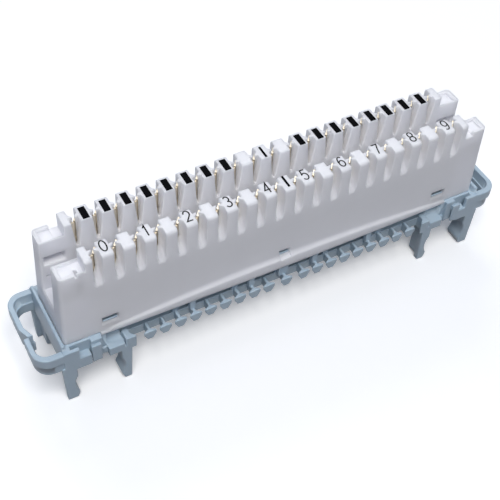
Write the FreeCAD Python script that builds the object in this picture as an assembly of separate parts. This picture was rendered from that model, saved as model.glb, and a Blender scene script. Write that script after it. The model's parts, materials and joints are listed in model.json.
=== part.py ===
import FreeCAD, Part
import math
import os

# Ten-pair wiring block with insulation-displacement contacts, for two round mounting rods.
# A white housing holds two facing rows of slotted posts with a plug channel between them.
# A grey-blue base closes it from below and carries the wire posts, the wire loops at both
# ends and the leg pairs that snap over the rods. Forty sheet-metal contacts sit inside.
# Millimetres. X runs along the rows, Y from the front row to the rear row, Z up.
# The origin is the middle of the rectangle that the block stands on, at its leg tips.

Vec = FreeCAD.Vector

# Heights above the leg tips
leg_length = 11.0
base_depth = 6.4
housing_height = 23.8

# Two mounting rods: their spacing also sets the pitch of the slots and of the wire posts
rod_spacing = 95.0
rod_radius = 6.0
rod_centre_z = 5.0

# Rows of contact slots
slots_per_row = 20
end_post_reach = 2.8
end_block_length = 5.7
end_block_drop = 2.9
channel_width = 6.5
channel_depth = 17.6
half_width_top = 7.75
side_draft = 0.35
end_draft = 0.8

# One slot: a V on the channel side, a narrow neck at the contact, and on the outer side
# a groove whose slanted floor is the scoop
slit_width = 0.6
slit_depth = 7.4
lead_width = 2.2
lead_reach = 1.6
groove_width = 2.04
groove_reach = 2.45
groove_chamfer = 0.55
neck_floor_rise = 0.2
scoop_angle = 52.0
scoop_lip_depth = 8.6
top_rounding = 0.8
rounding_flats = 3
corner_rounding = 1.0

# Contact chambers in the housing, open to the seat and across the channel
chamber_width = 2.7
chamber_length = 2.4
chamber_height = 15.6
channel_wall = 0.7
crossing_height = 10.0

# One contact, bent from flat strip
strip = 0.45
fork_width = 2.9
fork_slit = 0.35
fork_slit_depth = 5.4
fork_length = 11.2
fork_angle = 45.0
fork_inset = 0.15
fork_clearance = 0.1
tip_drop = 0.9
tip_lead = 0.6
stem_width = 0.9
arm_width = 0.8
bend_width = 2.6
arm_contact_z = 8.6
arm_contact_height = 1.2

# Top of each end block: a shallow tray with a rim, a hole with a cap, and a notch
rim_width = 0.9
outer_rim_width = 0.75
inner_rim_width = 0.5
tray_depth = 0.8
notch_length = 2.0
notch_depth = 1.25
hole_length = 0.7
hole_width = 1.8
hole_depth = 6.0
hole_from_post = 1.9
hole_from_side = 0.5
rim_cut_width = 0.3
cap_length = 1.7
cap_width = 0.45
cap_height = 0.3

# Recess in the channel side of each end block, and the small nick below it
recess_length = 4.5
recess_height = 2.4
recess_drop = 4.75
recess_depth = 3.6
recess_from_end = 0.7
nick_size = 0.5
nick_length = 1.0
nick_drop = 10.9

# Bowed skirt along the foot of both long sides, with a sloping shoulder
skirt_bulge = 1.1
skirt_end_bulge = 0.55
skirt_before_rod = 1.5
skirt_height = 3.4
skirt_end_height = 0.5
skirt_drop = 0.5
skirt_wall = 0.5

# Latch windows in the long sides and the base's latch arms behind them
latch_from_rod = 4.1
latch_width = 3.6
middle_latch_width = 2.7
window_height = 2.2
window_bottom = 1.9
window_ramp = 0.9
window_slope = 1.1
latch_arm = 0.6
latch_gap = 0.1
latch_inset = 0.65
latch_nib = 0.55
latch_nib_edge = 0.15
latch_top_gap = 0.55

# Base: deck and plinth under the housing, side walls, wire posts and their root blocks
base_half_width = 10.4
plinth_half_width = 5.9
core_half_width = 7.4
core_wall = 1.2
core_top_drop = 2.9
deck = 1.4
wall_below_deck = 0.4
wire_posts_per_half = 9
wire_post_share = 0.8
web_width = 0.75
web_top_drop = 3.6
web_height = 2.6
head_width = 3.0
head_thick = 0.9
head_edge = 0.3
head_foot = 1.2
head_side = 0.95
root_posts = (2, 6)
root_width = 1.4
middle_root_width = 2.6
root_reach = 0.6
root_lap = 0.6

# Base ends: end wall, rims, ledge, and over each rod a pillar with a tongue
housing_gap = 0.2
end_wall = 0.8
end_wall_rise = 1.5
end_wall_inset = 1.0
rim_wall = 0.9
rim_length = 3.7
rim_drop = 0.1
corner_length = 1.9
foot_gap = 0.3
ledge_drop = 3.4
ledge_reach = 2.6
pillar_length = 2.5
pillar_inset = 0.85
strip_reach = 2.5
tongue_length = 2.2
tongue_thick = 0.5
tongue_top_drop = 1.1
tongue_height = 6.3
tongue_neck = 1.7
left_tongue_shift = 0.35
right_tongue_shift = 1.4

# Leg pairs that snap over the rods, with the shelf and the hook above the inner leg
leg_gap = 10.4
inner_leg_width = 2.8
outer_leg_width = 3.4
leg_depth = 4.5
leg_plate = 1.3
leg_grip = 1.8
leg_grip_lift = 0.6
leg_taper = 0.5
leg_lead = 0.6
leg_lead_height = 1.6
shelf_gap = 1.2
shelf_top_drop = 4.2
shelf_slit = 0.3
shelf_step = 0.6
hook_slit_share = 0.35
hook_top_drop = 3.0
hook_flare = 0.95
hook_neck = 1.3

# Wire loops at both ends: two storeys, with an entry slit beside a slanted finger
loop_reach = 6.1
loop_wall = 1.2
loop_arm = 1.5
loop_corner = 3.6
loop_drop = 0.4
loop_height = 5.6
loop_lower_height = 2.9
loop_step = 0.35
loop_side_gap = 0.05
finger_root_y = 0.5
finger_tip_y = -2.2
finger_slant = 1.1
finger_gap = 0.2

# Cutters reach past a face by the margin; joined solids overlap by the lap
margin = 1.0
lap = 0.2

# Places worked out from the sizes above
underside_z = leg_length
seat_z = underside_z + base_depth
post_top_z = seat_z + housing_height
rod_x = rod_spacing / 2
inner_leg_x = rod_x - leg_gap / 2
hook_end_x = inner_leg_x - inner_leg_width
slot_pitch = rod_spacing / slots_per_row
wire_post_pitch = wire_post_share * slot_pitch
latch_x = rod_x - latch_from_rod
skirt_half_length = rod_x - skirt_before_rod
last_slot_x = (slots_per_row - 1) / 2 * slot_pitch
end_post_x = last_slot_x + end_post_reach
half_length_top = end_post_x + end_block_length
half_length_seat = half_length_top + end_draft
half_width_seat = half_width_top + side_draft
block_top_z = post_top_z - end_block_drop
channel_half = channel_width / 2
channel_floor_z = post_top_z - channel_depth
slit_bottom_z = post_top_z - slit_depth
lead_end_y = -channel_half - lead_reach
chamber_y0 = channel_half + channel_wall
chamber_y1 = chamber_y0 + chamber_length
chamber_top_z = seat_z + chamber_height
fork_y = -(chamber_y0 + chamber_y1) / 2 + fork_inset
fork_tip_z = post_top_z - tip_drop
fork_foot_z = fork_tip_z - fork_length
core_top_z = seat_z - core_top_drop
floor_z = underside_z - wall_below_deck
rim_z = seat_z - rim_drop
skirt_foot_z = seat_z - skirt_drop
face_y = -base_half_width
foot_y = -half_width_seat - foot_gap
core_y = -core_half_width + lap
end_wall_x = half_length_seat + housing_gap
shelf_top_z = seat_z - shelf_top_drop
hook_top_z = seat_z - hook_top_drop
web_top_z = seat_z - web_top_drop
ledge_z = seat_z - ledge_drop


def box(x0, x1, y0, y1, z0, z1):
    """Block between two corners."""
    return Part.makeBox(x1 - x0, y1 - y0, z1 - z0, Vec(x0, y0, z0))


def prism(points, travel):
    """Closed polygon swept along one straight travel."""
    wire = Part.makePolygon(points + [points[0]])
    return Part.Face(wire).extrude(travel)


def prism_along_y(outline, y0, y1):
    """Outline of x and z pairs, swept from y0 to y1."""
    points = [Vec(x, y0, z) for x, z in outline]
    return prism(points, Vec(0, y1 - y0, 0))


def prism_along_x(outline, x0, x1):
    """Outline of y and z pairs, swept from x0 to x1."""
    points = [Vec(x0, y, z) for y, z in outline]
    return prism(points, Vec(x1 - x0, 0, 0))


def prism_along_z(outline, z0, z1):
    """Outline of x and y pairs, swept from z0 to z1."""
    points = [Vec(x, y, z0) for x, y in outline]
    return prism(points, Vec(0, 0, z1 - z0))


def fused(shapes):
    """All shapes joined, with the seams between flush faces removed."""
    return shapes[0].multiFuse(shapes[1:]).removeSplitter()


def in_x(shape):
    """Shape mirrored to the other end."""
    return shape.mirror(Vec(0, 0, 0), Vec(1, 0, 0))


def in_y(shape):
    """Shape mirrored to the other row."""
    return shape.mirror(Vec(0, 0, 0), Vec(0, 1, 0))


def turned(shape):
    """Shape turned half round the vertical axis."""
    copy = shape.copy()
    copy.rotate(Vec(0, 0, 0), Vec(0, 0, 1), 180)
    return copy


def moved(shape, x):
    """Copy of a shape shifted along the rows."""
    copy = shape.copy()
    copy.translate(Vec(x, 0, 0))
    return copy


def near(a, b, tolerance=0.02):
    """True where two places agree."""
    return abs(a - b) < tolerance


def with_rounding(shape, radius, chosen):
    """Shape whose edges get a fillet where their midpoint passes the test."""
    edges = []
    for edge in shape.Edges:
        low, high = edge.ParameterRange
        if chosen(edge.valueAt((low + high) / 2)):
            edges.append(edge)
    return shape.makeFillet(radius, edges)


def slot_x(index):
    """Middle of one contact slot along the row."""
    return -last_slot_x + index * slot_pitch


def tapered_block():
    """Outer form of the housing, with draft on all four sides and soft corners."""
    block = Part.makeWedge(
        -half_length_seat, seat_z, -half_width_seat, -half_width_top, -half_length_top,
        half_length_seat, post_top_z, half_width_seat, half_width_top, half_length_top,
    )
    block.rotate(Vec(0, 0, 0), Vec(1, 0, 0), 90)

    def upright(middle):
        return seat_z + margin < middle.z < post_top_z - margin

    block = with_rounding(block, corner_rounding, upright)
    channel = box(
        -half_length_seat - margin, half_length_seat + margin,
        -channel_half, channel_half, channel_floor_z, post_top_z + margin,
    )
    drop = box(
        end_post_x, half_length_seat + margin,
        -half_width_seat - margin, half_width_seat + margin,
        block_top_z, post_top_z + margin,
    )
    edge = soft_edge_cut()
    return block.cut([channel, drop, in_x(drop), edge, in_y(edge)])


def soft_edge_cut():
    """What the soft outer edge of the front posts leaves out, as flats along an arc."""
    arc = []
    for step in range(rounding_flats + 1):
        angle = step / rounding_flats * math.pi / 2
        y = -half_width_top + top_rounding * (1 - math.cos(angle))
        z = post_top_z - top_rounding * (1 - math.sin(angle))
        arc.append((y, z))
    low_y = 2 * arc[0][0] - arc[1][0]
    low_z = 2 * arc[0][1] - arc[1][1]
    high_y = 2 * arc[-1][0] - arc[-2][0]
    high_z = 2 * arc[-1][1] - arc[-2][1]
    outer_y = -half_width_top - margin
    outline = [(outer_y, low_z), (low_y, low_z)] + arc[1:-1]
    outline += [(high_y, high_z), (high_y, post_top_z + margin), (outer_y, post_top_z + margin)]
    return prism_along_x(outline, -half_length_seat, half_length_seat)


def bowed_face(half_length, middle, end, back):
    """Face between a shallow arc along X and its straight back edge.

    The places are given at mid-length; end and back are shifted to both ends.
    """
    along = Vec(half_length, 0, 0)
    edges = [
        Part.Arc(end - along, middle, end + along).toShape(),
        Part.makeLine(end + along, back + along),
        Part.makeLine(back + along, back - along),
        Part.makeLine(back - along, end - along),
    ]
    return Part.Face(Part.Wire(edges))


def skirt():
    """Bowed skirt along the foot of the front side.

    It is bowed in plan and in front view. The front view is carried outward and down at
    45 degrees, which makes the shoulder that runs out into the plain wall.
    """
    wall_y = -half_width_seat
    plan = bowed_face(
        skirt_half_length, Vec(0, wall_y - skirt_bulge, skirt_foot_z),
        Vec(0, wall_y - skirt_end_bulge, skirt_foot_z), Vec(0, wall_y + skirt_wall, skirt_foot_z),
    )
    start = skirt_wall + lap
    front = bowed_face(
        skirt_half_length + lap, Vec(0, wall_y + start, seat_z + skirt_height + start),
        Vec(0, wall_y + start, seat_z + skirt_end_height + start),
        Vec(0, wall_y + start, skirt_foot_z - margin),
    )
    reach = start + skirt_bulge + lap
    upright = plan.extrude(Vec(0, 0, skirt_drop + skirt_height + start))
    return upright.common(front.extrude(Vec(0, -reach, -reach)))


def outer_groove():
    """Groove and scoop on the outer side of one front slot, about x = 0.

    The scoop is the slanted floor of the groove. The corners along the floor and
    along the inner end are cut off, and the neck leads on to the channel side.
    """
    half = groove_width / 2
    inner_y = -half_width_top + groove_reach
    wall_y = -half_width_top - side_draft * scoop_lip_depth / housing_height
    fall = math.tan(math.radians(scoop_angle))
    lip_z = post_top_z - scoop_lip_depth
    floor_end_z = lip_z + (inner_y - wall_y) * fall
    top_z = post_top_z + margin
    groove = prism_along_x(
        [
            (inner_y, floor_end_z), (wall_y - margin, lip_z - margin * fall),
            (wall_y - margin, top_z), (inner_y, top_z),
        ],
        -half, half,
    )
    corners = []
    for edge in groove.Edges:
        middle = edge.CenterOfMass
        on_side = near(abs(middle.x), half)
        if on_side and middle.y > wall_y - margin + lap and middle.z < top_z - lap:
            corners.append(edge)
    groove = groove.makeChamfer(groove_chamfer, corners)
    neck = box(-slit_width / 2, slit_width / 2, inner_y - lap, lead_end_y + lap,
               floor_end_z + neck_floor_rise, top_z)
    return fused([groove, neck])


def lead_in():
    """V on the channel side of one front slot, about x = 0."""
    half_slit = slit_width / 2
    half_lead = lead_width / 2
    top_z = post_top_z + margin
    steep = (half_lead - half_slit) / slit_depth * margin
    return prism_along_y(
        [
            (-half_slit, slit_bottom_z), (half_slit, slit_bottom_z),
            (half_lead + steep, top_z), (-half_lead - steep, top_z),
        ],
        lead_end_y, -channel_half + margin,
    )


def fork_pocket():
    """Slanted slot that holds one fork, about x = 0 in the front row."""
    half_width = fork_width / 2 + fork_clearance
    half_thick = strip / 2 + fork_clearance
    pocket = box(-half_width, half_width, -half_thick, half_thick,
                 fork_foot_z - fork_clearance, fork_tip_z + fork_clearance)
    pocket.rotate(Vec(0, 0, 0), Vec(0, 0, 1), fork_angle)
    pocket.translate(Vec(0, fork_y, 0))
    return pocket


def chamber():
    """Room for the stem and the spring arm of one front contact, about x = 0."""
    half = chamber_width / 2
    outline = [
        (-chamber_y1, seat_z - margin), (0, seat_z - margin), (0, seat_z + crossing_height),
        (-chamber_y0, seat_z + crossing_height), (-chamber_y0, chamber_top_z),
        (-chamber_y1, chamber_top_z),
    ]
    return prism_along_x(outline, -half, half)


def window(x, width):
    """Latch window through the front wall, with a ramp below and an arm pocket behind."""
    half = width / 2
    bottom = seat_z + window_bottom
    top = bottom + window_height
    wall_y = -half_width_seat
    inner_y = wall_y + latch_inset
    back_y = inner_y + latch_arm + 2 * latch_gap
    outer_y = wall_y - skirt_bulge - margin
    ramp_end_z = bottom + window_ramp - latch_inset * window_slope
    outline = [
        (back_y, seat_z - margin), (inner_y, seat_z - margin), (inner_y, bottom + window_ramp),
        (wall_y, ramp_end_z), (outer_y, ramp_end_z), (outer_y, top), (back_y, top),
    ]
    return prism_along_x(outline, x - half, x + half)


def tray(y0, y1):
    """Shallow tray in the top of a left end block."""
    return box(-half_length_top + rim_width, -end_post_x, y0, y1,
               block_top_z - tray_depth, block_top_z + margin)


def front_block_cuts():
    """Tray, small hole and rim cut of the front left end block."""
    hole_x = -end_post_x - hole_from_post
    hole_y = -half_width_top + hole_from_side
    hole = box(hole_x, hole_x + hole_length, hole_y, hole_y + hole_width,
               block_top_z - hole_depth, block_top_z + margin)
    rim_cut = box(hole_x - rim_cut_width, hole_x + lap, -half_width_seat - margin,
                  -half_width_top + outer_rim_width + lap,
                  block_top_z - tray_depth, block_top_z + margin)
    floor = tray(-half_width_top + outer_rim_width, -channel_half - inner_rim_width)
    return fused([floor, hole, rim_cut])


def rear_block_cuts():
    """Tray and open notch of the rear left end block."""
    notch = box(-end_post_x - notch_length, -end_post_x,
                channel_half + inner_rim_width, half_width_seat + margin,
                block_top_z - notch_depth, block_top_z + margin)
    floor = tray(channel_half + inner_rim_width, half_width_top - outer_rim_width)
    return fused([floor, notch])


def channel_recess():
    """Blind recess and nick in the channel side of the rear left end block."""
    x0 = -half_length_top + recess_from_end
    top = block_top_z - recess_drop
    recess = box(x0, x0 + recess_length, channel_half - margin, channel_half + recess_depth,
                 top - recess_height, top)
    nick_z = block_top_z - nick_drop
    nick = box(x0, x0 + nick_length, channel_half - margin, channel_half + nick_size,
               nick_z, nick_z + nick_size)
    return fused([recess, nick])


def hole_cap():
    """Small cap beside the hole of the front left end block."""
    x0 = -end_post_x - hole_from_post
    return box(x0, x0 + cap_length, -half_width_top, -half_width_top + cap_width,
               block_top_z - tray_depth - lap, block_top_z + cap_height)


def contact_housing():
    """White upper moulding, with everything cut out of it."""
    front_skirt = skirt()
    body = fused([tapered_block(), front_skirt, in_y(front_skirt)])
    one = fused([outer_groove(), lead_in(), fork_pocket(), chamber()])
    cutters = []
    for index in range(slots_per_row):
        place = moved(one, slot_x(index))
        cutters.append(place)
        cutters.append(turned(place))
    for x, width in ((-latch_x, latch_width), (0, middle_latch_width), (latch_x, latch_width)):
        opening = window(x, width)
        cutters.append(opening)
        cutters.append(in_y(opening))
    recess = channel_recess()
    for shape in (front_block_cuts(), rear_block_cuts(), recess, in_y(recess)):
        cutters.append(shape)
        cutters.append(turned(shape))
    cap = hole_cap()
    return fused([body.cut(cutters), cap, turned(cap)])


def fork():
    """Slotted fork of one front contact, with a lead-in at the mouth, about x = 0."""
    half = fork_width / 2
    half_slit = fork_slit / 2
    slit_end_z = fork_tip_z - fork_slit_depth
    outline = [
        (-half, fork_foot_z), (half, fork_foot_z), (half, fork_tip_z),
        (half_slit, fork_tip_z - tip_lead), (half_slit, slit_end_z),
        (-half_slit, slit_end_z), (-half_slit, fork_tip_z - tip_lead), (-half, fork_tip_z),
    ]
    shape = prism_along_y(outline, -strip / 2, strip / 2)
    shape.rotate(Vec(0, 0, 0), Vec(0, 0, 1), fork_angle)
    shape.translate(Vec(0, fork_y, 0))
    return shape


def spring():
    """Stem, bend and spring arm that meets the facing contact in the middle of the channel."""
    stem_y = fork_y - stem_width / 2
    touch_z = seat_z + arm_contact_z
    outline = [
        (stem_y, fork_foot_z), (stem_y, seat_z), (stem_y + bend_width, seat_z),
        (0, touch_z), (0, touch_z + arm_contact_height), (-arm_width, touch_z + arm_contact_height),
        (stem_y + bend_width - arm_width / 2, seat_z + arm_width),
        (stem_y + stem_width, seat_z + arm_width), (stem_y + stem_width, fork_foot_z),
    ]
    return prism_along_x(outline, -strip / 2, strip / 2)


def contact():
    """One front contact about x = 0."""
    return fused([fork(), spring()])


def wire_post(x):
    """T-shaped wire post of the front side: thin web and shield-shaped head."""
    half_web = web_width / 2
    half_head = head_width / 2
    half_foot = head_foot / 2
    bottom_z = web_top_z - web_height
    web = box(x - half_web, x + half_web, face_y + head_thick - lap, core_y, bottom_z, web_top_z)
    plan = prism_along_z(
        [
            (x - half_head, face_y), (x + half_head, face_y), (x + half_head, face_y + head_edge),
            (x + half_web, face_y + head_thick), (x - half_web, face_y + head_thick),
            (x - half_head, face_y + head_edge),
        ],
        bottom_z, web_top_z,
    )
    shield = prism_along_y(
        [
            (x - half_head, web_top_z), (x - half_head, web_top_z - head_side),
            (x - half_foot, bottom_z), (x + half_foot, bottom_z),
            (x + half_head, web_top_z - head_side), (x + half_head, web_top_z),
        ],
        face_y - margin, core_y,
    )
    return fused([web, plan.common(shield)])


def root_block(x, width):
    """Wide root of a wire post, which the housing skirt rests on."""
    half = width / 2
    return box(x - half, x + half, -half_width_seat - root_reach, -plinth_half_width + lap,
               web_top_z - root_lap, skirt_foot_z)


def latch(x, width):
    """Latch arm of the base, with its nib in the window of the front wall."""
    half = width / 2 - latch_gap
    arm_y = -half_width_seat + latch_inset + latch_gap
    low_z = seat_z + window_bottom + window_ramp + latch_gap
    top_z = seat_z + window_bottom + window_height - latch_top_gap
    outline = [
        (arm_y + latch_arm, core_top_z - lap), (arm_y, core_top_z - lap), (arm_y, low_z),
        (arm_y - latch_nib, low_z), (arm_y - latch_nib, low_z + latch_nib_edge),
        (arm_y, top_z), (arm_y + latch_arm, top_z),
    ]
    return prism_along_x(outline, x - half, x + half)


def front_side():
    """Wire posts, root blocks and latches of the front side."""
    parts = [root_block(0, middle_root_width), wire_post(0)]
    for number in range(1, wire_posts_per_half + 1):
        x = slot_pitch + (number - 1) * wire_post_pitch
        parts += [wire_post(-x), wire_post(x)]
        if number in root_posts:
            parts += [root_block(-x, root_width), root_block(x, root_width)]
    for x, width in ((-latch_x, latch_width), (0, middle_latch_width), (latch_x, latch_width)):
        parts.append(latch(x, width))
    return parts


def leg(inner_x, width):
    """One leg of a front pair; its rod side is inner_x and its body lies width away from it."""
    away = inner_x + width
    toward = 1 if width < 0 else -1
    top_z = underside_z + margin
    rod_side = [(inner_x - toward * leg_lead, 0), (inner_x, leg_lead_height), (inner_x, top_z)]
    plate = prism_along_y([(away, top_z), (away + toward * leg_taper, 0)] + rod_side,
                          face_y, face_y + leg_plate)
    grip_x = inner_x - toward * leg_grip
    grip = prism_along_y([(grip_x, top_z), (grip_x, leg_grip_lift)] + rod_side,
                         face_y, face_y + leg_depth)
    return fused([plate, grip])


def end_rim():
    """Rim, pocket, foot strip and ledge at the front left corner of the base."""
    wall_x = -end_wall_x
    outer_x = wall_x - end_wall
    rim_x = outer_x + rim_length
    ledge_x = rim_x + ledge_reach
    strip_x = -rod_x + strip_reach
    return [
        box(outer_x, outer_x + corner_length, face_y, foot_y, floor_z, rim_z),
        box(outer_x, rim_x, face_y, face_y + rim_wall, floor_z, rim_z),
        box(outer_x, -skirt_half_length - lap, foot_y - lap, core_y, floor_z, rim_z),
        box(outer_x, strip_x, foot_y - lap, core_y, floor_z, skirt_foot_z),
        box(outer_x, rim_x, face_y, foot_y, floor_z, floor_z + deck),
        box(rim_x - lap, ledge_x, face_y, foot_y, floor_z, ledge_z),
    ]


def pillar(tongue_shift):
    """Pillar over the front left rod, with its hanging tongue."""
    half = pillar_length / 2
    inset_y = face_y + pillar_inset
    middle = -rod_x - tongue_shift
    tongue_half = tongue_length / 2
    top_z = seat_z - tongue_top_drop
    return [
        box(-rod_x - half, -rod_x + half, inset_y, foot_y, floor_z, rim_z),
        box(middle - tongue_half, middle + tongue_half, face_y, face_y + tongue_thick,
            top_z - tongue_height, top_z),
        box(middle - tongue_half, middle + tongue_half, face_y + lap, inset_y + lap,
            top_z - tongue_neck, top_z - lap),
    ]


def shelf_and_hook():
    """Shelf beside the pillar and flared hook at the inner leg."""
    slit_x = -inner_leg_x + inner_leg_width * hook_slit_share
    pillar_x = -rod_x + pillar_length / 2
    hook_x = slit_x + shelf_slit
    hook = prism_along_z(
        [
            (hook_x, face_y), (-hook_end_x + hook_flare, face_y),
            (-hook_end_x + hook_flare, face_y + head_edge), (-hook_end_x, face_y + hook_neck),
            (-hook_end_x, core_y), (hook_x, core_y),
        ],
        floor_z, hook_top_z,
    )
    return [
        box(pillar_x + shelf_gap, slit_x, face_y, core_y, floor_z, shelf_top_z),
        box(pillar_x - lap, hook_x + lap, face_y + leg_plate, core_y, floor_z, shelf_top_z - shelf_step),
        hook,
    ]


def end_corner(tongue_shift):
    """Everything at the front left corner of the base."""
    legs = [leg(-inner_leg_x, inner_leg_width), leg(-rod_x - leg_gap / 2, -outer_leg_width)]
    return end_rim() + pillar(tongue_shift) + shelf_and_hook() + legs


def loop_storey(inset, z0, z1):
    """One storey of the left loop: a round-cornered U, slit beside a slanted finger."""
    inner_x = -end_wall_x - end_wall / 2
    outer_x = -end_wall_x - end_wall - loop_reach + inset
    half_y = base_half_width - loop_side_gap - inset
    outline = box(outer_x, inner_x, -half_y, half_y, z0, z1)
    hollow = box(outer_x + loop_wall, inner_x + margin, -half_y + loop_arm, half_y - loop_arm,
                 z0 - margin, z1 + margin)

    def at_outer(middle):
        return near(middle.x, outer_x) and near(abs(middle.y), half_y) and z0 < middle.z < z1

    def at_inner(middle):
        return near(middle.x, outer_x + loop_wall) and near(abs(middle.y), half_y - loop_arm)

    outline = with_rounding(outline, loop_corner, at_outer)
    hollow = with_rounding(hollow, loop_corner - loop_wall, at_inner)
    slit = box(outer_x - margin, outer_x + loop_wall + margin, finger_tip_y - finger_gap,
               finger_root_y, z0 - margin, z1 + margin)
    finger = prism_along_z(
        [
            (outer_x, finger_root_y + lap), (outer_x, finger_root_y),
            (outer_x + finger_slant, finger_tip_y), (outer_x + finger_slant + loop_wall, finger_tip_y),
            (outer_x + loop_wall, finger_root_y + lap),
        ],
        z0, z1,
    )
    return fused([outline.cut([hollow, slit]), finger])


def wire_loop():
    """Left wire loop, whose lower storey is set inward."""
    top_z = seat_z - loop_drop
    bottom_z = top_z - loop_height
    step_z = bottom_z + loop_lower_height
    return fused([loop_storey(0, step_z, top_z), loop_storey(loop_step, bottom_z, step_z)])


def base_core():
    """Deck, side walls, plinth and end walls."""
    length = end_wall_x + lap
    wall = box(-end_wall_x - end_wall, -end_wall_x, face_y + end_wall_inset,
               base_half_width - end_wall_inset, floor_z, seat_z + end_wall_rise)
    side = box(-length, length, -core_half_width, -core_half_width + core_wall, floor_z, core_top_z)
    return [
        box(-length, length, -core_half_width, core_half_width, core_top_z - deck, core_top_z),
        box(-length, length, -plinth_half_width, plinth_half_width, core_top_z - lap, seat_z),
        side, in_y(side), wall, in_x(wall),
    ]


def base_frame():
    """Grey-blue lower moulding, in one piece with its legs, loops and wire posts."""
    parts = base_core()
    side = front_side()
    parts += side + [in_y(shape) for shape in side]
    left = end_corner(left_tongue_shift) + [wire_loop()]
    right = [in_x(shape) for shape in end_corner(right_tongue_shift)]
    parts += left + right + [turned(shape) for shape in left + right]
    rod = Part.makeCylinder(rod_radius, 2 * (base_half_width + margin),
                            Vec(-rod_x, face_y - margin, rod_centre_z), Vec(0, 1, 0))
    return fused(parts).cut([rod, in_x(rod)])


def save(name, shape):
    """Write one sub-part."""
    shape.exportStep(os.path.join("parts", name + ".step"))
    print(name, "solids", len(shape.Solids), "valid", shape.isValid(), "volume", round(shape.Volume, 2))


def main():
    os.makedirs("parts", exist_ok=True)
    save("contact_housing", contact_housing())
    save("base_frame", base_frame())
    one = contact()
    for index in range(slots_per_row):
        place = moved(one, slot_x(index))
        save("front_contact_%02d" % (index + 1), place)
        save("rear_contact_%02d" % (slots_per_row - index), turned(place))


main()
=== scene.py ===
import json
import math

import bmesh
import bpy
import numpy as np
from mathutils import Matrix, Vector

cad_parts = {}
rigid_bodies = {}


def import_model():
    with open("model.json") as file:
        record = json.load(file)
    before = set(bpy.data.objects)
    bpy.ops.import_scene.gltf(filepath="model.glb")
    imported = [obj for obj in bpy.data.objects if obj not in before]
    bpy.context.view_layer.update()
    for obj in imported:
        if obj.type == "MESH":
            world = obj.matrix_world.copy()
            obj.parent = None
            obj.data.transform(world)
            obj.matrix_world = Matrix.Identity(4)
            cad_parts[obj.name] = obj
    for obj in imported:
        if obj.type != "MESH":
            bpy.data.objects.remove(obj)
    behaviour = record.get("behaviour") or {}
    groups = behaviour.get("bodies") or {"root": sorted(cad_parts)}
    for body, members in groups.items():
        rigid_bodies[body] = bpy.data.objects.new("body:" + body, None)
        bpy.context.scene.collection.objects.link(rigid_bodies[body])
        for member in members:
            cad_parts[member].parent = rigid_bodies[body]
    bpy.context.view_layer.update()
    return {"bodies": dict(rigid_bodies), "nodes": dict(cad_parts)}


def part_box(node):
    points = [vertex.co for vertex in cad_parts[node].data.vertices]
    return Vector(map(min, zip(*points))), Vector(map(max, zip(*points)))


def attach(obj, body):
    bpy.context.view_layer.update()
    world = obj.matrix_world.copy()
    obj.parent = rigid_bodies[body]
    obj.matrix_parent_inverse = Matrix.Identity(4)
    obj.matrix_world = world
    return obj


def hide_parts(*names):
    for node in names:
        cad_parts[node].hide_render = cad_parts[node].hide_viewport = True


bl_info = {
    "name": "Punch Down Wiring Block",
    "version": (1, 0, 0),
    "blender": (4, 5, 0),
    "location": "View3D > Sidebar > Wiring Block",
    "description": "Dresses the ten-pair wiring block and sets its studio",
    "category": "Object",
}

# Lengths are metres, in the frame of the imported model: X along the rows, Y to the rear row,
# Z up from the leg tips. One millimetre is MM.
MM = 0.001

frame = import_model()
nodes = frame["nodes"]
root = sorted(frame["bodies"])[0]

# Places read from the frame
housing_low, housing_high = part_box("contact_housing")
base_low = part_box("base_frame")[0]
contact_nodes = sorted(name for name in nodes if "_contact_" in name)
slots_per_row = sum(name.startswith("front") for name in contact_nodes)
slot_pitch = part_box("front_contact_02")[0].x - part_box("front_contact_01")[0].x
last_slot_x = (slots_per_row - 1) / 2 * slot_pitch
posts_per_row = slots_per_row - 1
first_post_x = -(posts_per_row - 1) / 2 * slot_pitch
post_top_z = housing_high.z

# Posts are counted from 0 at the left. Every second front post carries a digit. The middle post
# of each row carries a thin bar, the two beside it in the rear row nothing, and the other rear
# posts a wide bar. The marks lie LABEL_OFFSET from the block's middle plane.
DIGIT_POSTS = range(0, posts_per_row, 2)
MIDDLE_POST = posts_per_row // 2
REAR_BLANK_POSTS = (MIDDLE_POST - 1, MIDDLE_POST + 1)
LABEL_OFFSET = 5.1 * MM

# Corners nearer than this to each other or to a plane lie in one place or in the plane, and faces
# that turn less than this from each other are one flat face
SAME_PLACE = 0.002 * MM
FLAT_TURN = math.radians(0.5)

# Edges that turn less than this are kept smooth. A rounding takes at most this share of the
# distance to the next corner, in this number of steps.
SMOOTH_TURN = math.radians(32)
ROUNDING_SHARE = 0.4
ROUNDING_STEPS = 2

# Hidden places of the housing: the heights over its lowest edge up to which its seat and its
# contact chambers reach, the room between its fork pockets and the post tops, and the distances
# from the block's middle plane between which the pockets lie
SEAT_HEIGHT = 0.7 * MM
CHAMBER_HEIGHT = 16.2 * MM
POCKET_TOP_ROOM = 0.2 * MM
POCKET_SPAN = (3.8 * MM, 6.5 * MM)

# Hidden place of the base inside the housing: its half width, and its foot over the leg tips
PLINTH_HALF_WIDTH = 7.5 * MM
PLINTH_FOOT = 10.7 * MM

# Gap under both skirts, seen as a dark line: its section as (y, z) from the block's middle plane
# and the leg tips, its reach along X, and the middles and half widths of the blocks left in it
GAP_SECTION = [(-7.5 * MM, 13.2 * MM), (-7.15 * MM, 13.2 * MM), (-7.15 * MM, 11.2 * MM),
               (-6.35 * MM, 11.2 * MM), (-6.35 * MM, 14.6 * MM), (-7.5 * MM, 14.6 * MM)]
GAP_REACH = 41.3 * MM
GAP_BLOCKS = [(-27.55 * MM, 0.75 * MM), (-12.35 * MM, 0.75 * MM), (0, 1.6 * MM),
              (12.35 * MM, 0.75 * MM), (27.55 * MM, 0.75 * MM)]

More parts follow.
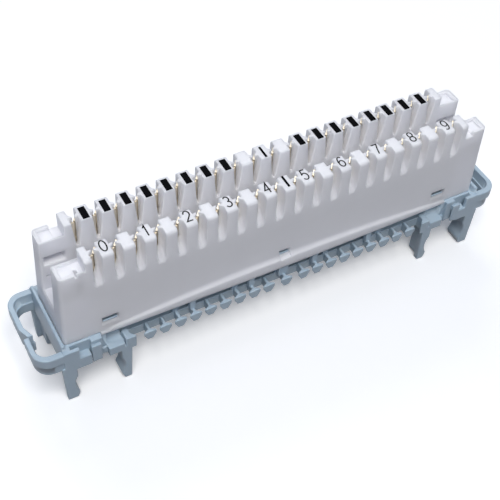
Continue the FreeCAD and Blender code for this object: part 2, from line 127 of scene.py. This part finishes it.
# Slots behind the latch nibs, seen as dark lines: their section as (y, z) from the block's middle
# plane and the housing's lowest edge, and their middles and half widths
NIB_SECTION = [(-7.7 * MM, 3.5 * MM), (-6.7 * MM, 3.5 * MM),
               (-6.7 * MM, 4.5 * MM), (-7.7 * MM, 4.5 * MM)]
NIB_SLOTS = [(-43.4 * MM, 1.9 * MM), (0, 1.4 * MM), (43.4 * MM, 1.9 * MM)]

# Noise values between which a finish passes from its dark to its light tone, and the depth of
# the finest relief
TONE_SPAN = (0.35, 0.65)
GRAIN_DEPTH = 0.01 * MM

# Camera fitted to the photograph, with its lens and film width in millimetres
CAMERA_PLACE = (-88.6947 * MM, -133.9004 * MM, 196.8573 * MM)
CAMERA_TURN = (0.7151, -0.0554, -0.4982)
CAMERA_LENS = 72.9418
CAMERA_FILM = 36
CAMERA_NEAREST = 5 * MM

# Square lamps, all of one size and aimed at one place: name, place, watts and colour
LAMP_SIZE = 0.4
LAMP_AIM = (0, 0, 0.02)
LAMPS = [
    ("key", (-0.13, -0.33, 0.76), 5.1, (1, 0.985, 0.965)),
    ("back", (0.1, 0.55, 0.5), 1.5, (1, 0.99, 0.98)),
]

# Surroundings: the light that they give to the block, and the white as which they are seen
AIR_COLOUR = (0.72, 0.9, 1.25)
AIR_STRENGTH = 0.22
WHITE = (1, 1, 1)

# Floor: half its width, the glow that lifts its seen white to the surroundings' white, the table
# colour that it gives back to the block, and the distances from the block's middle between which
# the seen floor passes into plain white
FLOOR_HALF = 2.5
FLOOR_GLOW = 0.12
TABLE_COLOUR = (0.11, 0.09, 0.075)
NEAR_FLOOR = 0.09
FAR_FLOOR = 0.22


class BlockLook(bpy.types.PropertyGroup):
    """Sizes and colours of the block's finish."""

    housing_colour: bpy.props.FloatVectorProperty(
        name="Housing colour", description="White of the upper moulding",
        subtype="COLOR", size=3, min=0, max=1, default=(0.87, 0.87, 0.91))
    base_colour: bpy.props.FloatVectorProperty(
        name="Base colour", description="Grey-blue of the lower moulding",
        subtype="COLOR", size=3, min=0, max=1, default=(0.44, 0.54, 0.62))
    contact_colour: bpy.props.FloatVectorProperty(
        name="Contact colour", description="Plated brass of the contacts",
        subtype="COLOR", size=3, min=0, max=1, default=(0.78, 0.71, 0.58))
    print_colour: bpy.props.FloatVectorProperty(
        name="Print colour", description="Ink of the digits and bars",
        subtype="COLOR", size=3, min=0, max=1, default=(0.003, 0.003, 0.004))
    housing_edge: bpy.props.FloatProperty(
        name="Housing edge radius", description="Rounding of the upper moulding's edges",
        subtype="DISTANCE", unit="LENGTH", default=0.38 * MM)
    base_edge: bpy.props.FloatProperty(
        name="Base edge radius", description="Rounding of the lower moulding's edges",
        subtype="DISTANCE", unit="LENGTH", default=0.25 * MM)
    digit_height: bpy.props.FloatProperty(
        name="Digit height", description="Height of a digit's centre line",
        subtype="DISTANCE", unit="LENGTH", default=2.95 * MM)
    digit_width: bpy.props.FloatProperty(
        name="Digit width", description="Width of a digit's centre line",
        subtype="DISTANCE", unit="LENGTH", default=1.35 * MM)
    digit_stroke: bpy.props.FloatProperty(
        name="Digit stroke", description="Width of a digit's line",
        subtype="DISTANCE", unit="LENGTH", default=0.29 * MM)
    bar_length: bpy.props.FloatProperty(
        name="Bar length", description="Length of the printed bars",
        subtype="DISTANCE", unit="LENGTH", default=3.45 * MM)
    wide_bar: bpy.props.FloatProperty(
        name="Wide bar width", description="Width of the wide printed bars",
        subtype="DISTANCE", unit="LENGTH", default=1.5 * MM)
    thin_bar: bpy.props.FloatProperty(
        name="Thin bar width", description="Width of the thin printed bars",
        subtype="DISTANCE", unit="LENGTH", default=0.55 * MM)
    ink: bpy.props.FloatProperty(
        name="Ink thickness", description="How far the print stands above the post tops",
        subtype="DISTANCE", unit="LENGTH", default=0.02 * MM)


def look():
    """The block's settings."""
    return bpy.context.scene.block_look


def new_piece(name, mesh, material):
    """Object for a finished mesh, riding on the block's one body."""
    piece = bpy.data.objects.new(name, mesh)
    bpy.context.scene.collection.objects.link(piece)
    mesh.materials.clear()
    mesh.materials.append(material)
    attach(piece, root)
    return piece


# Moulded shapes

def flat_faced(name, mesh):
    """Copy of a mesh with its doubles merged and each flat face in one piece."""
    work = bmesh.new()
    work.from_mesh(mesh)
    bmesh.ops.remove_doubles(work, verts=work.verts, dist=SAME_PLACE)
    bmesh.ops.dissolve_limit(work, angle_limit=FLAT_TURN, verts=work.verts, edges=work.edges)
    copy = bpy.data.meshes.new(name)
    work.to_mesh(copy)
    work.free()
    return copy


def corner_places(mesh):
    """Places of a mesh's corners, one to a row."""
    places = np.empty(len(mesh.vertices) * 3)
    mesh.vertices.foreach_get("co", places)
    return places.reshape(-1, 3)


def prism(section, start, end):
    """Corners and faces of a section of (y, z) points carried along X from start to end."""
    count = len(section)
    corners = np.vstack([np.insert(section, 0, x, axis=1) for x in (start, end)])
    index = np.arange(count)
    following = np.roll(index, -1)
    walls = np.column_stack([index, following, following + count, index + count])
    return corners, [index, index + count, *walls]


def base_cutter():
    """Prisms of the gap between its blocks and of the nib slots, for both long sides."""
    middles, halves = np.array(GAP_BLOCKS).T
    block_ends = np.column_stack([middles - halves, middles + halves]).ravel()
    stretches = np.concatenate([[-GAP_REACH], block_ends, [GAP_REACH]]).reshape(-1, 2)
    cuts = [(GAP_SECTION, start, end) for start, end in stretches]
    nib_section = np.array(NIB_SECTION) + (0, housing_low.z)
    cuts += [(nib_section, middle - half, middle + half) for middle, half in NIB_SLOTS]
    work = bmesh.new()
    for side in (1, -1):
        for cut in cuts:
            corners, faces = prism(*cut)
            placed = [work.verts.new(corner) for corner in corners * (1, side, 1)]
            for face in faces:
                work.faces.new([placed[index] for index in face])
    bmesh.ops.recalc_face_normals(work, faces=work.faces)
    mesh = bpy.data.meshes.new("base_cutter")
    work.to_mesh(mesh)
    work.free()
    return mesh


def cut_mesh(name, mesh, cutter_mesh):
    """Copy of a mesh with another one cut out of it and each flat face in one piece."""
    whole = bpy.data.objects.new("uncut", mesh)
    cutter = bpy.data.objects.new("cutter", cutter_mesh)
    for one in (whole, cutter):
        bpy.context.scene.collection.objects.link(one)
    cut = whole.modifiers.new("cut", "BOOLEAN")
    cut.operation = "DIFFERENCE"
    cut.solver = "EXACT"
    cut.object = cutter
    graph = bpy.context.evaluated_depsgraph_get()
    result = bpy.data.meshes.new_from_object(whole.evaluated_get(graph))
    for one in (whole, cutter):
        bpy.data.objects.remove(one)
    return flat_faced(name, result)


def edge_facts(mesh):
    """Ends, turning angle, face normals and convexity of every edge, as arrays."""
    work = bmesh.new()
    work.from_mesh(mesh)
    ends = np.array([[corner.index for corner in edge.verts] for edge in work.edges])
    turns = np.array([edge.calc_face_angle(0.0) for edge in work.edges])
    normals = np.array([[face.normal for face in edge.link_faces][:2] for edge in work.edges])
    convex = np.array([edge.is_convex for edge in work.edges])
    work.free()
    return ends, turns, normals, convex


def clear_room(places, ends, normals):
    """Distance from each edge to the nearest other corner in the planes of its two faces."""
    corners = np.unique(ends)
    room = np.full(len(ends), np.inf)
    for index, (first, last) in enumerate(ends):
        offset = places[corners] - places[first]
        along = places[last] - places[first]
        share = np.clip(offset @ along / (along @ along), 0, 1)
        distance = np.linalg.norm(offset - share[:, None] * along, axis=1)
        in_plane = np.abs(offset @ normals[index].T).min(axis=1) < SAME_PLACE
        others = in_plane & (corners != first) & (corners != last)
        room[index] = distance[others].min(initial=np.inf)
    return room


def soften(piece, radius, hidden):
    """Rounded outer edges on a moulded piece, apart from those in a hidden place.

    An edge gets the full radius, or where the next corner of its faces is near, the share of
    that distance that ROUNDING_SHARE gives. Edges that turn less than SMOOTH_TURN stay smooth.
    """
    mesh = piece.data
    places = corner_places(mesh)
    ends, turns, normals, convex = edge_facts(mesh)
    sharp = np.nonzero(turns > SMOOTH_TURN)[0]
    room = clear_room(places, ends[sharp], normals[sharp])
    weights = np.zeros(len(ends))
    weights[sharp] = np.minimum(1, ROUNDING_SHARE * room / radius)
    weights[~convex | hidden(places[ends].mean(axis=1))] = 0
    layer = mesh.attributes.new("bevel_weight_edge", "FLOAT", "EDGE")
    layer.data.foreach_set("value", weights)
    mesh.shade_smooth()
    mesh.set_sharp_from_angle(angle=SMOOTH_TURN)
    bevel = piece.modifiers.new("edge_rounding", "BEVEL")
    bevel.width = radius
    bevel.segments = ROUNDING_STEPS
    bevel.limit_method = "WEIGHT"
    bevel.use_clamp_overlap = False
    bevel.loop_slide = False
    shading = piece.modifiers.new("flat_faces_stay_flat", "WEIGHTED_NORMAL")
    shading.keep_sharp = True


def inside_housing(middles):
    """True for places at the seat, in the contact chambers and in the fork pockets."""
    across = np.abs(middles[:, 1])
    height = middles[:, 2]
    in_rows = np.abs(middles[:, 0]) < last_slot_x + slot_pitch / 2
    under_forks = across < POCKET_SPAN[1]
    at_seat = height < housing_low.z + SEAT_HEIGHT
    chamber = under_forks & (height < housing_low.z + CHAMBER_HEIGHT)
    pocket = under_forks & (across > POCKET_SPAN[0]) & (height < post_top_z - POCKET_TOP_ROOM)
    return at_seat | in_rows & (chamber | pocket)


def under_housing(middles):
    """True for places of the base between its end walls and under the housing."""
    along = np.abs(middles[:, 0]) < housing_high.x
    across = np.abs(middles[:, 1]) < PLINTH_HALF_WIDTH
    return along & across & (middles[:, 2] > base_low.z + PLINTH_FOOT)


# Finishes

def set_inputs(node, values):
    """Fixed values on a node's own sockets."""
    for name, value in values.items():
        node.inputs[name].default_value = value


def blank_material(name):
    """Material with a Principled shader and its object coordinates."""
    material = bpy.data.materials.new(name)
    material.use_nodes = True
    tree = material.node_tree
    place = tree.nodes.new("ShaderNodeTexCoord")
    return material, tree, tree.nodes["Principled BSDF"], place.outputs["Object"]


def noise(tree, coordinates, scale, detail, roughness):
    """Noise value over the coordinates."""
    node = tree.nodes.new("ShaderNodeTexNoise")
    set_inputs(node, {"Scale": scale, "Detail": detail, "Roughness": roughness})
    tree.links.new(coordinates, node.inputs["Vector"])
    return node.outputs["Fac"]


def tinted(tree, shader, value, colour, dark, light):
    """Base colour that passes from dark to light times the colour over TONE_SPAN of a noise."""
    ramp = tree.nodes.new("ShaderNodeValToRGB")
    for step, position, factor in zip(ramp.color_ramp.elements, TONE_SPAN, (dark, light)):
        step.position = position
        step.color = (*(min(1, channel * factor) for channel in colour), 1)
    tree.links.new(value, ramp.inputs["Fac"])
    tree.links.new(ramp.outputs["Color"], shader.inputs["Base Color"])


def grained(tree, shader, value, strength):
    """Fine surface relief from a noise value."""
    bump = tree.nodes.new("ShaderNodeBump")
    set_inputs(bump, {"Distance": GRAIN_DEPTH, "Strength": strength})
    tree.links.new(value, bump.inputs["Height"])
    tree.links.new(bump.outputs["Normal"], shader.inputs["Normal"])


def moulded_plastic(name, colour, roughness, contrast, depth):
    """Satin moulded plastic with slight flow clouding and a fine eroded grain.

    Light goes a little way into the plastic; depth is how far.
    """
    material, tree, shader, coordinates = blank_material(name)
    cloud = noise(tree, coordinates, scale=90, detail=3, roughness=0.5)
    tinted(tree, shader, cloud, colour, dark=1 - contrast, light=1 + contrast)
    fine = noise(tree, coordinates, scale=4200, detail=2, roughness=0.5)
    grained(tree, shader, fine, strength=0.25)
    set_inputs(shader, {
        "Roughness": roughness, "IOR": 1.5, "Specular IOR Level": 0.25,
        "Subsurface Weight": 0.8, "Subsurface Radius": (1, 1, 1), "Subsurface Scale": depth,
    })
    return material


def plated_metal(name, colour):
    """Plated brass strip with faint rolling streaks along its height."""
    material, tree, shader, coordinates = blank_material(name)
    stretch = tree.nodes.new("ShaderNodeMapping")
    set_inputs(stretch, {"Scale": (1, 1, 0.12)})
    tree.links.new(coordinates, stretch.inputs["Vector"])
    streak = noise(tree, stretch.outputs["Vector"], scale=2600, detail=3, roughness=0.6)
    tinted(tree, shader, streak, colour, dark=0.82, light=1.12)
    grained(tree, shader, streak, strength=0.2)
    set_inputs(shader, {"Metallic": 1, "Roughness": 0.32})
    return material


def printing_ink(name, colour):
    """Pad-printed ink with slightly uneven cover."""
    material, tree, shader, coordinates = blank_material(name)
    cover = noise(tree, coordinates, scale=1800, detail=3, roughness=0.6)
    tinted(tree, shader, cover, colour, dark=0.7, light=1.3)
    set_inputs(shader, {"Roughness": 0.8, "Specular IOR Level": 0.03})
    return material


# Printed marks

def arc(centre, radii, start, end, count=24):
    """Points of an ellipse arc: centre plus radii times cosine and sine of the angle in degrees."""
    angle = np.radians(np.linspace(start, end, count))
    return np.array(centre) + np.array(radii) * np.column_stack([np.cos(angle), np.sin(angle)])


# Centre lines of the digits from 0 to 9, each in a box one unit wide and high about the origin
DIGIT_PATHS = [
    [arc((0, 0), (0.5, 0.5), 90, 450, 48)],
    [np.array([(-0.26, 0.3), (0.05, 0.5), (0.05, -0.5)])],
    [np.vstack([arc((0, 0.2), (0.46, 0.3), 170, -35), [(-0.48, -0.5), (0.5, -0.5)]])],
    [arc((-0.02, 0.25), (0.42, 0.25), 150, -90), arc((-0.02, -0.23), (0.5, 0.27), 90, -155)],
    [np.array([(0.24, -0.5), (0.24, 0.5), (-0.5, -0.18), (0.5, -0.18)])],
    [np.vstack([[(0.42, 0.5), (-0.3, 0.5), (-0.4, 0.06)],
                arc((-0.02, -0.17), (0.5, 0.33), 128, -150)])],
    [arc((0.05, 0), (0.53, 0.5), 55, 190), arc((0, -0.19), (0.48, 0.31), 90, 450, 48)],
    [np.array([(-0.5, 0.5), (0.48, 0.5), (0.1, 0), (-0.16, -0.5)])],
    [arc((0, 0.25), (0.42, 0.25), 90, 450, 40), arc((0, -0.24), (0.5, 0.26), 90, 450, 40)],
    [arc((0, 0.19), (0.48, 0.31), 90, 450, 48), arc((-0.05, 0), (0.53, 0.5), -125, 10)],
]


def post_label(post, side):
    """Middle of a post's mark; side is -1 in the front row and 1 in the rear row."""
    return np.array([first_post_x + post * slot_pitch, side * LABEL_OFFSET])


def bar(post, side, width):
    """Printed bar on a post: a straight path across the row, and its width."""
    half = look().bar_length / 2
    return post_label(post, side) + [(0, -half), (0, half)], width


def ribbon(path, width):
    """Both edges of a flat ribbon with square ends.

    They lie half a width to the sides of the path. At a corner each edge moves out along
    the mean normal, by the half width divided by the cosine of half the turn.
    """
    steps = np.diff(path, axis=0)
    steps /= np.linalg.norm(steps, axis=1)[:, None]
    normals = np.column_stack([-steps[:, 1], steps[:, 0]])
    before = np.vstack([normals[:1], normals])
    after = np.vstack([normals, normals[-1:]])
    if np.allclose(path[0], path[-1]):
        before[0] = normals[-1]
        after[-1] = normals[0]
    mean = before + after
    mean /= np.linalg.norm(mean, axis=1)[:, None]
    reach = width / 2 / np.sum(mean * after, axis=1)
    return path + mean * reach[:, None], path - mean * reach[:, None]


def print_piece(name, ribbons, material):
    """One object for many printed ribbons, each a path on the post tops and a width.

    A ribbon's faces join each point of its left edge and the next to the two opposite. The ink
    is twice as thick as it stands proud, so that its lower half lies in the housing.
    """
    edges = []
    faces = []
    start = 0
    for path, width in ribbons:
        left, right = ribbon(path, width)
        count = len(left)
        index = start + np.arange(count - 1)
        faces.append(np.column_stack([index, index + count, index + count + 1, index + 1]))
        edges += [left, right]
        start += 2 * count
    corners = np.insert(np.vstack(edges), 2, post_top_z, axis=1)
    mesh = bpy.data.meshes.new(name)
    mesh.from_pydata(corners.tolist(), [], np.vstack(faces).tolist())
    piece = new_piece(name, mesh, material)
    thick = piece.modifiers.new("ink_thickness", "SOLIDIFY")
    thick.thickness = look().ink * 2
    thick.offset = -1


# Pieces

class WIRING_BLOCK_OT_housing(bpy.types.Operator):
    """White housing with rounded edges, its post tops lowered by the ink's thickness"""

    bl_idname = "wiring_block.housing"
    bl_label = "Dress the housing"

    def execute(self, context):
        material = moulded_plastic("Satin White Plastic", look().housing_colour,
                                   roughness=0.42, contrast=0.012, depth=3 * MM)
        mesh = flat_faced("housing", nodes["contact_housing"].data)
        places = corner_places(mesh)
        places[:, 2] = np.minimum(places[:, 2], post_top_z - look().ink)
        mesh.vertices.foreach_set("co", places.ravel())
        piece = new_piece("housing", mesh, material)
        soften(piece, look().housing_edge, inside_housing)
        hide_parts("contact_housing")
        return {"FINISHED"}


class WIRING_BLOCK_OT_base(bpy.types.Operator):
    """Grey-blue base with rounded edges and the dark gaps under the skirts and at the latches"""

    bl_idname = "wiring_block.base"
    bl_label = "Dress the base"

    def execute(self, context):
        material = moulded_plastic("Satin Blue-Grey Plastic", look().base_colour,
                                   roughness=0.4, contrast=0.02, depth=0.05 * MM)
        whole = flat_faced("uncut_base", nodes["base_frame"].data)
        mesh = cut_mesh("base", whole, base_cutter())
        piece = new_piece("base", mesh, material)
        soften(piece, look().base_edge, under_housing)
        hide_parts("base_frame")
        return {"FINISHED"}


class WIRING_BLOCK_OT_contacts(bpy.types.Operator):
    """Forty plated contacts"""

    bl_idname = "wiring_block.contacts"
    bl_label = "Dress the contacts"

    def execute(self, context):
        material = plated_metal("Plated Brass", look().contact_colour)
        for name in contact_nodes:
            nodes[name].data.materials.clear()
            nodes[name].data.materials.append(material)
        return {"FINISHED"}


class WIRING_BLOCK_OT_marks(bpy.types.Operator):
    """Printed digits and one bar on the front posts, and bars on the rear posts"""

    bl_idname = "wiring_block.marks"
    bl_label = "Print the digits and bars"

    def execute(self, context):
        material = printing_ink("Black Ink", look().print_colour)
        size = np.array([look().digit_width, look().digit_height])
        digits = [(post_label(post, -1) + path * size, look().digit_stroke)
                  for paths, post in zip(DIGIT_PATHS, DIGIT_POSTS) for path in paths]
        print_piece("printed_digits", digits, material)
        bars = [bar(MIDDLE_POST, -1, look().thin_bar)]
        for post in range(posts_per_row):
            if post not in REAR_BLANK_POSTS:
                width = look().thin_bar if post == MIDDLE_POST else look().wide_bar
                bars.append(bar(post, 1, width))
        print_piece("printed_bars", bars, material)
        return {"FINISHED"}


# Studio

def plain_shader(tree, kind, colour, strength=None):
    """Shader of one colour, and of one strength where its kind has one."""
    shader = tree.nodes.new(kind)
    shader.inputs["Color"].default_value = (*colour, 1)
    if strength is not None:
        shader.inputs["Strength"].default_value = strength
    return shader.outputs[0]


def mixed(tree, share, first, second):
    """Mix of two shaders: the first where the share is nought, the second where it is one."""
    mix = tree.nodes.new("ShaderNodeMixShader")
    tree.links.new(share, mix.inputs["Fac"])
    tree.links.new(first, mix.inputs[1])
    tree.links.new(second, mix.inputs[2])
    return mix.outputs[0]


def seen_ray(tree):
    """One for camera, glossy and transmission rays, nought for the rest."""
    path = tree.nodes.new("ShaderNodeLightPath")
    seen = path.outputs["Is Camera Ray"]
    for kind in ("Is Glossy Ray", "Is Transmission Ray"):
        either = tree.nodes.new("ShaderNodeMath")
        either.operation = "MAXIMUM"
        tree.links.new(seen, either.inputs[0])
        tree.links.new(path.outputs[kind], either.inputs[1])
        seen = either.outputs[0]
    return seen


def far_share(tree):
    """Nought near the block, one from FAR_FLOOR on, by the distance from the block's middle."""
    place = tree.nodes.new("ShaderNodeTexCoord")
    distance = tree.nodes.new("ShaderNodeVectorMath")
    distance.operation = "LENGTH"
    share = tree.nodes.new("ShaderNodeMapRange")
    share.interpolation_type = "SMOOTHSTEP"
    set_inputs(share, {"From Min": NEAR_FLOOR, "From Max": FAR_FLOOR})
    tree.links.new(place.outputs["Object"], distance.inputs[0])
    tree.links.new(distance.outputs["Value"], share.inputs["Value"])
    return share.outputs["Result"]


def floor_material():
    """Pale paper, seen white with the block's shadow near it and plain white far from it.

    For the light that it gives back to the block it is a dark table.
    """
    material = bpy.data.materials.new("Studio Paper")
    material.use_nodes = True
    tree = material.node_tree
    tree.nodes.clear()
    output = tree.nodes.new("ShaderNodeOutputMaterial")
    near = tree.nodes.new("ShaderNodeAddShader")
    tree.links.new(plain_shader(tree, "ShaderNodeBsdfDiffuse", WHITE), near.inputs[0])
    tree.links.new(plain_shader(tree, "ShaderNodeEmission", WHITE, FLOOR_GLOW), near.inputs[1])
    far = plain_shader(tree, "ShaderNodeEmission", WHITE, 1)
    shown = mixed(tree, far_share(tree), near.outputs[0], far)
    table = plain_shader(tree, "ShaderNodeBsdfDiffuse", TABLE_COLOUR)
    tree.links.new(mixed(tree, seen_ray(tree), table, shown), output.inputs["Surface"])
    return material


def floor_piece():
    """Square floor at the height of the leg tips."""
    half = FLOOR_HALF
    mesh = bpy.data.meshes.new("floor")
    mesh.from_pydata([(-half, -half, 0), (half, -half, 0), (half, half, 0), (-half, half, 0)],
                     [], [(0, 1, 2, 3)])
    mesh.materials.append(floor_material())
    floor = bpy.data.objects.new("floor", mesh)
    bpy.context.scene.collection.objects.link(floor)


def area_light(name, place, watts, colour):
    """Soft square lamp at a place, turned so that its -Z points at the lamps' aim."""
    light = bpy.data.lights.new(name, "AREA")
    light.size = LAMP_SIZE
    light.energy = watts
    light.color = colour
    lamp = bpy.data.objects.new(name, light)
    lamp.location = place
    direction = Vector(LAMP_AIM) - Vector(place)
    lamp.rotation_euler = direction.to_track_quat("-Z", "Y").to_euler()
    bpy.context.scene.collection.objects.link(lamp)


def set_world():
    """Even surroundings that light the block a little, seen as white."""
    world = bpy.data.worlds.new("Studio Air")
    bpy.context.scene.world = world
    world.use_nodes = True
    tree = world.node_tree
    tree.nodes.clear()
    output = tree.nodes.new("ShaderNodeOutputWorld")
    fill = plain_shader(tree, "ShaderNodeBackground", AIR_COLOUR, AIR_STRENGTH)
    white = plain_shader(tree, "ShaderNodeBackground", WHITE, 1)
    tree.links.new(mixed(tree, seen_ray(tree), fill, white), output.inputs["Surface"])


def photo_camera():
    """Camera at the photograph's place."""
    lens = bpy.data.cameras.new("photo_camera")
    lens.lens = CAMERA_LENS
    lens.sensor_width = CAMERA_FILM
    lens.clip_start = CAMERA_NEAREST
    camera = bpy.data.objects.new("photo_camera", lens)
    camera.location = CAMERA_PLACE
    camera.rotation_euler = CAMERA_TURN
    bpy.context.scene.collection.objects.link(camera)
    bpy.context.scene.camera = camera


class WIRING_BLOCK_OT_stage(bpy.types.Operator):
    """Floor, soft lights, surroundings and camera"""

    bl_idname = "wiring_block.stage"
    bl_label = "Set the studio"

    def execute(self, context):
        floor_piece()
        for lamp in LAMPS:
            area_light(*lamp)
        set_world()
        photo_camera()
        context.scene.view_settings.view_transform = "Standard"
        return {"FINISHED"}


class WIRING_BLOCK_PT_panel(bpy.types.Panel):
    """Lists the block's pieces and settings"""

    bl_idname = "WIRING_BLOCK_PT_panel"
    bl_label = "Wiring Block"
    bl_space_type = "VIEW_3D"
    bl_region_type = "UI"
    bl_category = "Wiring Block"

    def draw(self, context):
        for operator in OPERATORS:
            self.layout.operator(operator.bl_idname)
        for name in BlockLook.__annotations__:
            self.layout.prop(context.scene.block_look, name)


OPERATORS = (
    WIRING_BLOCK_OT_housing,
    WIRING_BLOCK_OT_base,
    WIRING_BLOCK_OT_contacts,
    WIRING_BLOCK_OT_marks,
    WIRING_BLOCK_OT_stage,
)


def register():
    """Registers the classes and puts the settings on the scene."""
    for one in (BlockLook, *OPERATORS, WIRING_BLOCK_PT_panel):
        bpy.utils.register_class(one)
    bpy.types.Scene.block_look = bpy.props.PointerProperty(type=BlockLook)


def unregister():
    """Takes the settings off the scene and unregisters the classes."""
    del bpy.types.Scene.block_look
    for one in (WIRING_BLOCK_PT_panel, *reversed(OPERATORS), BlockLook):
        bpy.utils.unregister_class(one)


def main():
    """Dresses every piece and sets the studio."""
    register()
    bpy.ops.wiring_block.housing()
    bpy.ops.wiring_block.base()
    bpy.ops.wiring_block.contacts()
    bpy.ops.wiring_block.marks()
    bpy.ops.wiring_block.stage()


if __name__ == "__main__":
    main()
